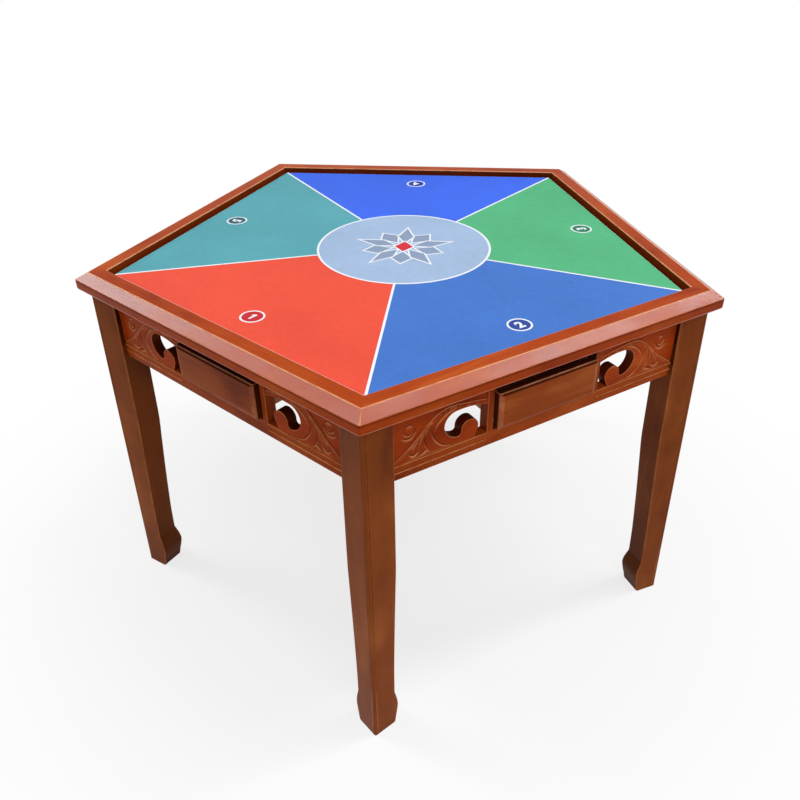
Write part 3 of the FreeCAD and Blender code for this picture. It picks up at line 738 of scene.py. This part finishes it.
def panel_points(outline):
    """Points inside the panel, close along the carved lines and wide between them."""
    taken = {}
    kept = []

    def offer(x, y, least):
        """Keeps a point that is inside the panel and not too near to one that is kept already."""
        column, row = math.floor(x / CELL), math.floor(y / CELL)
        near = (point for i in (-1, 0, 1) for j in (-1, 0, 1)
                for point in taken.get((column + i, row + j), ()))
        if all(math.dist(point, (x, y)) >= least for point in near) and inside(outline, (x, y)):
            taken.setdefault((column, row), []).append((x, y))
            kept.append((x, y))

    lines = [(smooth_line(SKYLINE, 1.3), SKYLINE_ROWS)]
    lines += [(smooth_line(stroke[0], 1.1), STROKE_ROWS) for stroke in STROKES]
    for points, offsets in lines:
        for a, b in zip(points, points[1:]):
            length = math.dist(a, b)
            across = ((a[1] - b[1]) / length, (b[0] - a[0]) / length)
            for offset in offsets:
                offer(a[0] + across[0] * offset, a[1] + across[1] * offset, ROW_GAP)
    for row in range(int(PANEL_TOP / FIELD_PITCH) + 1):
        for column in range(int(LEG_SIDE_FOOT / FIELD_PITCH) + 1):
            offer((column + 0.5 * (row % 2) + 0.3) * FIELD_PITCH, (row + 0.4) * FIELD_PITCH,
                  FIELD_GAP)
    return kept


def panel_mesh(mirrored):
    """A pierced panel with eased edges and a carved face."""
    mesh = bmesh.new()
    stain_and_shade = mesh.verts.layers.float.new("stain_and_shade")
    lip_highlight = mesh.verts.layers.float.new("lip_highlight")
    rubbed_and_highlit = mesh.faces.layers.float.new("rubbed_and_highlit")
    shade = mesh.faces.layers.float.new("shade")
    front = mesh.faces.new([mesh.verts.new((POST_OUTER + x * MM, -APRON_FACE, RAIL_TOP + z * MM))
                            for x, z in PANEL_OUTLINE])
    swept = bmesh.ops.extrude_face_region(mesh, geom=[front], use_keep_orig=True)
    bmesh.ops.translate(mesh, verts=[g for g in swept["geom"] if isinstance(g, bmesh.types.BMVert)],
                        vec=(0, APRON_FACE - APRON_BACK, 0))
    # The end beside the leg follows the leg's face.
    for vertex in mesh.verts:
        if vertex.co.y > -APRON_BACK - 1e-5 and vertex.co.x > POST_OUTER + (LEG_SIDE_TOP - 1) * MM:
            vertex.co.x += (APRON_FACE - APRON_BACK) * math.tan(LEG_TURN)
    eased_off = bmesh.ops.bevel(mesh, geom=list(front.edges), offset=PANEL_ROUND,
                                offset_type="OFFSET", segments=2, profile=0.5, affect="EDGES",
                                clamp_overlap=True)
    # The hole's walls and the panel's ends are painted dark as shade, and its eased edges pale as
    # highlights, most where they face up.
    for face in mesh.faces:
        face[shade] = 1.0 if abs(face.normal.y) < 0.2 else 0.0
    for face in eased_off["faces"]:
        lit = 1.6 if face.normal.z > 0.3 else 0.8
        face[rubbed_and_highlit] = 0.0 if face.calc_center_median().z > APRON_TOP - 0.002 else lit
        face[shade] = 0.0
    # The flat front gives way to a carved one on the same outline.
    front = max((f for f in mesh.faces if all(abs(v.co.y + APRON_FACE) < 1e-6 for v in f.verts)),
                key=lambda f: f.calc_area())
    rim = list(front.verts)
    outline = [((v.co.x - POST_OUTER) / MM, (v.co.z - RAIL_TOP) / MM) for v in rim]
    mesh.faces.remove(front)
    points = panel_points(outline)
    corners = [Vector(p) for p in outline + points]
    border = list(range(len(outline)))
    placed, _, faces = geometry.delaunay_2d_cdt(corners, [], [border], 1, 1e-5)[:3]
    # Gouges hold dark stain and painted shade, and the lips beside them and the crest of the leaves
    # are painted pale as highlights.
    made = []
    for i, (x, z) in enumerate(placed):
        if i < len(rim):
            made.append(rim[i])
            continue
        depth, gouged = relief((x, z))
        vertex = mesh.verts.new((POST_OUTER + x * MM, -APRON_FACE + depth * MM, RAIL_TOP + z * MM))
        crest = near_line(SMOOTH_SKYLINE, (x, z))
        vertex[stain_and_shade] = 1.1 * min(1, gouged / 1.3)
        vertex[lip_highlight] = max(min(1, max(0, relief((x, z + 1.5))[1] - gouged) / 0.6),
                          math.exp(-((crest[0] * crest[1] + 0.6) / 0.8) ** 2))
        made.append(vertex)
    # The triangles come in no fixed order, so they are sorted, each from its lowest point on.
    starts = [face.index(min(face)) for face in faces]
    for face in sorted(face[start:] + face[:start] for face, start in zip(faces, starts)):
        mesh.faces.new([made[i] for i in face])
    if mirrored:
        for vertex in mesh.verts:
            vertex.co.x = -vertex.co.x
    bmesh.ops.recalc_face_normals(mesh, faces=mesh.faces)
    # All the faces are sorted too, by their points.
    mesh.verts.index_update()
    for i, face in enumerate(sorted(mesh.faces, key=lambda f: sorted(v.index for v in f.verts))):
        face.index = i
    mesh.faces.sort()
    return mesh


# ---- playing cloth ----
CLOTH_CORNERS = [polar(BOARD_EDGE / COS_HALF, azimuth) for azimuth in CORNERS.values()]
PRINT_CENTRE = (0.008, -0.002)
DISC_RADIUS = 0.176
LINE_WIDTH = 0.0046
NUMBER_RING, NUMBER_GROUND, DIGIT_SIZE = 0.0226, 0.0190, 0.0275
ONE = ((-0.1, -1), (0.38, -1), (0.38, 1), (0.08, 1), (-0.5, 0.56), (-0.5, 0.1), (-0.1, 0.38))
INK_LOW, INK_HIGH = CLOTH_TOP - 0.00004, CLOTH_TOP + 0.00012
DIGIT_RISE = 0.00005            # of a numeral above its ground
INK_LAYER = 0.00006             # one print on another, in the rosette
# The rosette's rings of five petals: reach, tail, half width, first direction, widest place.
PETALS = ((0.088, 0.020, 0.024, -90, 0.55), (0.108, 0.012, 0.019, -54, 0.42))
LOZENGE_X, LOZENGE_Y = 0.023, 0.031
WHITE_EDGE = 0.0034
CLOTH_FLAT = 0.9975             # the share of the cloth that lies flat, out to its turned edge
# The rings of the turned edge, by share and height.
CLOTH_RINGS = ((CLOTH_FLAT, CLOTH_TOP), (0.9990, CLOTH_TOP - 0.00012),
               (0.9998, CLOTH_TOP - 0.00045), (1.0, BOARD_TOP))
# Side, numeral, its place along and out from the middle of that side, cloth and ring colours.
SECTORS = (("front_right", "2", (-0.0016, 0.4004), (70, 120, 203), (34, 68, 156)),
           ("right", "3", (-0.0041, 0.3980), (86, 182, 130), (34, 126, 88)),
           ("back", "4", (-0.0037, 0.3899), (62, 108, 238), (32, 58, 168)),
           ("left", "5", (0.0022, 0.3922), (90, 168, 179), (30, 98, 110)),
           ("front_left", "1", (0.0069, 0.3986), (238, 84, 62), (204, 26, 38)))


def cloth_mesh():
    """One cloth glued to the board: five sectors round a disc, its edge turned over a little."""
    mesh = bmesh.new()
    rubbed_and_highlit = mesh.faces.layers.float.new("rubbed_and_highlit")
    steps = 24
    angles = [math.atan2(y - PRINT_CENTRE[1], x - PRINT_CENTRE[0]) for x, y in CLOTH_CORNERS]
    rings = [[] for _ in CLOTH_RINGS]
    inner = []
    for i in range(5):
        j = (i + 1) % 5
        sweep = (angles[j] - angles[i]) % math.tau
        for step in range(steps):
            degrees = math.degrees(angles[i] + sweep * step / steps)
            inner.append(mesh.verts.new((*polar(DISC_RADIUS, degrees, PRINT_CENTRE), CLOTH_TOP)))
            outer = Vector(CLOTH_CORNERS[i]).lerp(Vector(CLOTH_CORNERS[j]), step / steps)
            for ring, (share, z) in zip(rings, CLOTH_RINGS):
                ring.append(mesh.verts.new((outer.x * share, outer.y * share, z)))
    count = len(inner)
    for k in range(count):
        following = (k + 1) % count
        for level, (a, b) in enumerate(zip([inner] + rings, rings)):
            face = mesh.faces.new((a[k], b[k], b[following], a[following]))
            face.material_index = k // steps
            face[rubbed_and_highlit] = 1.0 if level else 0.0
    disc = mesh.faces.new(inner)
    disc.material_index = 5
    mesh.faces.new(list(reversed(rings[-1])))
    bmesh.ops.recalc_face_normals(mesh, faces=mesh.faces)
    return mesh


def lines_mesh():
    """White printed lines: a ring round the disc and a line from it to each corner."""
    mesh = bmesh.new()
    half = LINE_WIDTH / 2
    add_band(mesh, circle(DISC_RADIUS + half, 160, PRINT_CENTRE),
             circle(DISC_RADIUS - half, 160, PRINT_CENTRE), INK_LOW, INK_HIGH)
    for corner in CLOTH_CORNERS:
        along = (Vector(corner) - Vector(PRINT_CENTRE)).normalized()
        across = Vector((-along.y, along.x)) * half
        start = Vector(PRINT_CENTRE) + along * (DISC_RADIUS + half * 0.9)
        tip = Vector(corner) * CLOTH_FLAT
        shoulder = tip - along * half / math.tan(1.5 * HALF_ANGLE)
        add_slab(mesh, [start - across, shoulder - across, tip, shoulder + across, start + across],
                 INK_LOW, INK_HIGH)
    bmesh.ops.recalc_face_normals(mesh, faces=mesh.faces)
    return mesh


def number_mesh(digit, along, out):
    """A plain numeral in a ring, its top towards the middle of the table."""
    mesh = bmesh.new()
    centre = (along, -out)
    add_band(mesh, circle(NUMBER_RING, 64, centre), circle(NUMBER_GROUND, 64, centre),
             INK_LOW, INK_HIGH)
    add_slab(mesh, circle(NUMBER_GROUND + 0.00005, 64, centre), INK_LOW, INK_HIGH - DIGIT_RISE, 1)
    if digit == "1":
        size = 0.0095
        outline = [(centre[0] + x * size, centre[1] + y * size) for x, y in ONE]
        add_slab(mesh, outline, INK_LOW, INK_HIGH)
        bmesh.ops.recalc_face_normals(mesh, faces=mesh.faces)
        return mesh
    text = bpy.data.curves.new("digit", "FONT")
    text.body, text.size, text.offset, text.extrude = digit, DIGIT_SIZE, 0.0012, DIGIT_RISE
    text.align_x = text.align_y = "CENTER"
    holder = bpy.data.objects.new("digit", text)
    flat = bpy.data.meshes.new_from_object(holder)
    across, up = ([vertex.co[axis] for vertex in flat.vertices] for axis in (0, 1))
    flat.transform(Matrix.Translation((centre[0] - (min(across) + max(across)) / 2,
                                       centre[1] - (min(up) + max(up)) / 2, INK_HIGH)))
    mesh.from_mesh(flat)
    bpy.data.objects.remove(holder)
    bpy.data.curves.remove(text)
    bpy.data.meshes.remove(flat)
    return mesh


def kite(reach, tail, half_width, degrees, widest):
    """A long four-cornered petal that points away from the print's centre."""
    along = Vector(polar(1.0, degrees))
    across = Vector((-along.y, along.x)) * half_width
    middle = along * (tail + (reach - tail) * widest)
    return [tuple(point + Vector(PRINT_CENTRE))
            for point in (along * tail, middle - across, along * reach, middle + across)]


def shrunk(outline, margin):
    """An outline drawn in by an even margin."""
    points = [Vector(p) for p in outline]
    result = []
    for i, here in enumerate(points):
        back = (points[i - 1] - here).normalized()
        ahead = (points[(i + 1) % len(points)] - here).normalized()
        half = back.angle(ahead) / 2
        result.append(tuple(here + (back + ahead).normalized() * margin / math.sin(half)))
    return result


def rosette_mesh():
    """Grey petals with white outlines round a red lozenge, each print a layer above the last."""
    mesh = bmesh.new()
    for level, (reach, tail, half_width, first, widest) in enumerate(PETALS):
        base = INK_LOW + 2 * INK_LAYER * level
        for step in range(5):
            petal = kite(reach, tail, half_width, first + 72 * step, widest)
            add_slab(mesh, petal, INK_LOW, base + INK_LAYER * 2, 0)
            add_slab(mesh, shrunk(petal, WHITE_EDGE), INK_LOW, base + INK_LAYER * 3, 1)
    x, y = PRINT_CENTRE
    lozenge = [(x, y - LOZENGE_Y), (x + LOZENGE_X, y), (x, y + LOZENGE_Y), (x - LOZENGE_X, y)]
    add_slab(mesh, lozenge, INK_LOW, INK_LOW + INK_LAYER * 6, 0)
    add_slab(mesh, shrunk(lozenge, WHITE_EDGE), INK_LOW, INK_LOW + INK_LAYER * 7, 2)
    bmesh.ops.recalc_face_normals(mesh, faces=mesh.faces)
    return mesh


# ---- the pieces ----
add_camera()

# The rubbed colours below also tint the painted highlights.
RIM_WOOD = wood("rim_wood", (146, 48, 8), (174, 66, 12), (194, 88, 26),
                rubbed=(255, 222, 196), dulled=True)
FRAME_WOOD = wood("frame_wood", (136, 50, 12), (170, 73, 20), (194, 98, 38),
                  gloss=0.32, specular=0.03)
POST_WOOD = wood("post_wood", (124, 42, 10), (156, 62, 16), (180, 84, 30),
                 gloss=0.32, specular=0.03, grain_along=2)
CARVED_WOOD = wood("carved_wood", (138, 44, 10), (172, 64, 16), (196, 88, 32),
                   contrast=0.6, gloss=0.3, specular=0.025, rubbed=(255, 204, 150))
DRAWER_WOOD = wood("drawer_wood", (120, 47, 15), (154, 70, 25), (180, 92, 40),
                   specular=0.03, rubbed=(255, 214, 188))
LEG_WOOD = wood("leg_wood", (102, 44, 13), (136, 67, 24), (162, 89, 41),
                contrast=0.42, specular=0.03, grain_along=2)
BARE = (138, 92, 52), (176, 128, 80), (202, 158, 108)
INNER_WOOD = wood("inner_wood", *BARE, gloss=0.5)
BLOCK_WOOD = wood("block_wood", *BARE, gloss=0.5, drawn=False)
PLYWOOD = wood("plywood", (150, 110, 70), (188, 148, 102), (212, 176, 130), gloss=0.55)
BOARD_WOOD = wood("board_wood", (20, 14, 10), (30, 21, 15), (42, 30, 22), gloss=0.6, drawn=False)
STEEL = brushed_steel("steel")
WHITE_INK = print_ink("white_ink", (240, 244, 250))
GREY_INK = print_ink("grey_ink", (140, 158, 188))
RED_INK = print_ink("red_ink", (216, 36, 52))

PANELS = {"right": drawn_mesh("panel_right", panel_mesh(False), CARVED_WOOD),
          "left": drawn_mesh("panel_left", panel_mesh(True), CARVED_WOOD)}
LEG = drawn_mesh("leg", leg_mesh(), LEG_WOOD)
RIM = drawn_mesh("rim", rim_mesh(), RIM_WOOD)


def dress(name, node, side, body, edge_radius, material, marks=None, least_angle=26):
    """A side's solid drawn again with eased edges, in the solid's place."""
    mesh = eased(node + "_" + side, SIDES[side], edge_radius, least_angle)
    if marks:
        marks(mesh)
    drawn = drawn_mesh(name, mesh, material)
    piece(name + "_" + side, drawn, SIDES[side], body, [node + "_" + side])


for side, azimuth in SIDES.items():
    piece("rim_board_" + side, RIM, azimuth, "table", ["rim_" + side])
    dress("upper_rail", "top_rail", side, "table", 0.0004, FRAME_WOOD, mark_top_rail)
    dress("rail", "apron_rail", side, "table", 0.0006, FRAME_WOOD, mark_rail)
    dress("post_pair", "drawer_posts", side, "table", 0.0008, POST_WOOD, mark_posts)
    dress("runner_pair", "drawer_runners", side, "table", 0.0005, INNER_WOOD)
    for hand, drawn in PANELS.items():
        piece("panel_" + side + "_" + hand, drawn, azimuth, "table",
              ["carved_panel_" + side + "_" + hand])
    drawer = "drawer_" + side
    dress("drawer_face", "drawer_front", side, drawer, 0.0016, DRAWER_WOOD,
          mark_drawer_front, least_angle=15)
    dress("drawer_sides", "drawer_box", side, drawer, 0.0005, INNER_WOOD)
    dress("drawer_floor", "drawer_bottom", side, drawer, 0.0003, PLYWOOD)

for corner, azimuth in CORNERS.items():
    piece("post_leg_" + corner, LEG, azimuth, "table", ["leg_" + corner])

cloths = [printed_cloth("cloth_" + side, colour) for side, digit, place, colour, deep in SECTORS]
cloths.append(printed_cloth("cloth_disc", (164, 188, 220)))
drawn_cloth = drawn_mesh("cloth", cloth_mesh(), *cloths)
drawn_lines = drawn_mesh("lines", lines_mesh(), WHITE_INK)
drawn_rosette = drawn_mesh("rosette", rosette_mesh(), WHITE_INK, GREY_INK, RED_INK)
cloth = piece("playing_cloth", drawn_cloth, FRONT, "table", ["play_cloth"])
prints = [piece("cloth_lines", drawn_lines, FRONT, "table"),
          piece("cloth_rosette", drawn_rosette, FRONT, "table")]
for side, digit, place, colour, deep in SECTORS:
    deep_ink = print_ink("deep_ink_" + digit, deep)
    drawn = drawn_mesh("number", number_mesh(digit, *place), WHITE_INK, deep_ink)
    prints.append(piece("cloth_number_" + digit, drawn, SIDES[side], "table"))

for node, material in (("corner_blocks", BLOCK_WOOD), ("leg_bolts", STEEL),
                       ("play_board", BOARD_WOOD), ("base_panel", BOARD_WOOD)):
    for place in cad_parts[node].material_slots:
        place.material = material


# ---- floor and light ----
def add_floor():
    mesh = bmesh.new()
    bmesh.ops.create_grid(mesh, x_segments=1, y_segments=1, size=30)
    data = bpy.data.meshes.new("floor")
    mesh.to_mesh(data)
    mesh.free()
    shader = Shader("floor")
    away = shader.add("VectorMath", out="Value", inputs={0: shader.add("TexCoord", out="Object")},
                      operation="LENGTH")
    # All white but for some of the shadow under the table.
    share = shader.math("MULTIPLY", shader.seen(), shader.ramp(away, 0.3, 1.4, 0.72, 1.0))
    shader.set(Base_Color=(0.9, 0.9, 0.9, 1), Roughness=0.9, Specular_IOR_Level=0.1)
    white = shader.add("Emission", inputs={"Color": (1, 1, 1, 1), "Strength": 1.0})
    surface = shader.add("MixShader", inputs={0: share, 1: shader.surface.outputs[0], 2: white})
    shader.put(shader.tree.nodes["Material Output"].inputs["Surface"], surface)
    data.materials.append(shader.material)
    floor = bpy.data.objects.new("floor", data)
    bpy.context.scene.collection.objects.link(floor)


def add_lamp(name, start, end, target, width, radiance):
    """A long soft box between two points that shines on a target."""
    start, end = Vector(start), Vector(end)
    along = (end - start).normalized()
    back = (start + end) / 2 - Vector(target)
    back = (back - back.dot(along) * along).normalized()
    lamp = bpy.data.lights.new(name, "AREA")
    lamp.shape = "RECTANGLE"
    lamp.size, lamp.size_y = (end - start).length, width
    lamp.energy = radiance * math.pi * lamp.size * lamp.size_y
    made = bpy.data.objects.new(name, lamp)
    bpy.context.scene.collection.objects.link(made)
    made.matrix_world = (Matrix.Translation((start + end) / 2)
                         @ Matrix((along, back.cross(along), back)).transposed().to_4x4())


CEILING = 0.26      # the strength of the world's light, and of its reflection overhead
HORIZON = 0.7       # the strength of its reflection near the floor


def add_world():
    """A plain white world: seen directly it is white, and mirrored it is dimmer overhead."""
    world = bpy.data.worlds.new("studio")
    bpy.context.scene.world = world
    world.use_nodes = True
    nodes = Nodes(world.node_tree)
    background = nodes.tree.nodes["Background"]
    place = nodes.add("TexCoord", out="Generated")
    height = nodes.add("SeparateXYZ", out="Z", inputs={0: place})
    shown = nodes.math("MAXIMUM", nodes.ramp(height, 0.1, 0.3, HORIZON, CEILING),
                       nodes.add("LightPath", out="Is Camera Ray"))
    strength = nodes.add("Mix", inputs={0: nodes.seen(), 2: CEILING, 3: shown})
    nodes.put(background.inputs["Strength"], strength)
    nodes.put(background.inputs["Color"], (1, 1, 1, 1))


add_floor()
add_world()
# Two soft boxes, left and right, that the bevels of the front rims mirror, and one in front.
add_lamp("left_box", (-4.95, 2.4, 2.85), (-2.5, -0.1, 5.1), (-0.3, -0.35, 0.74),
         width=0.75, radiance=10.5)
add_lamp("right_box", (1.25, -0.45, 5.7), (4.02, 1.84, 3.99), (0.3, -0.35, 0.74),
         width=0.7, radiance=16.5)
add_lamp("front_box", (0.2, -2.95, 3.5), (2.3, -2.5, 3.5), (0.1, -0.3, 0.6),
         width=1.0, radiance=5.8)
bpy.context.scene.view_settings.view_transform = "Standard"
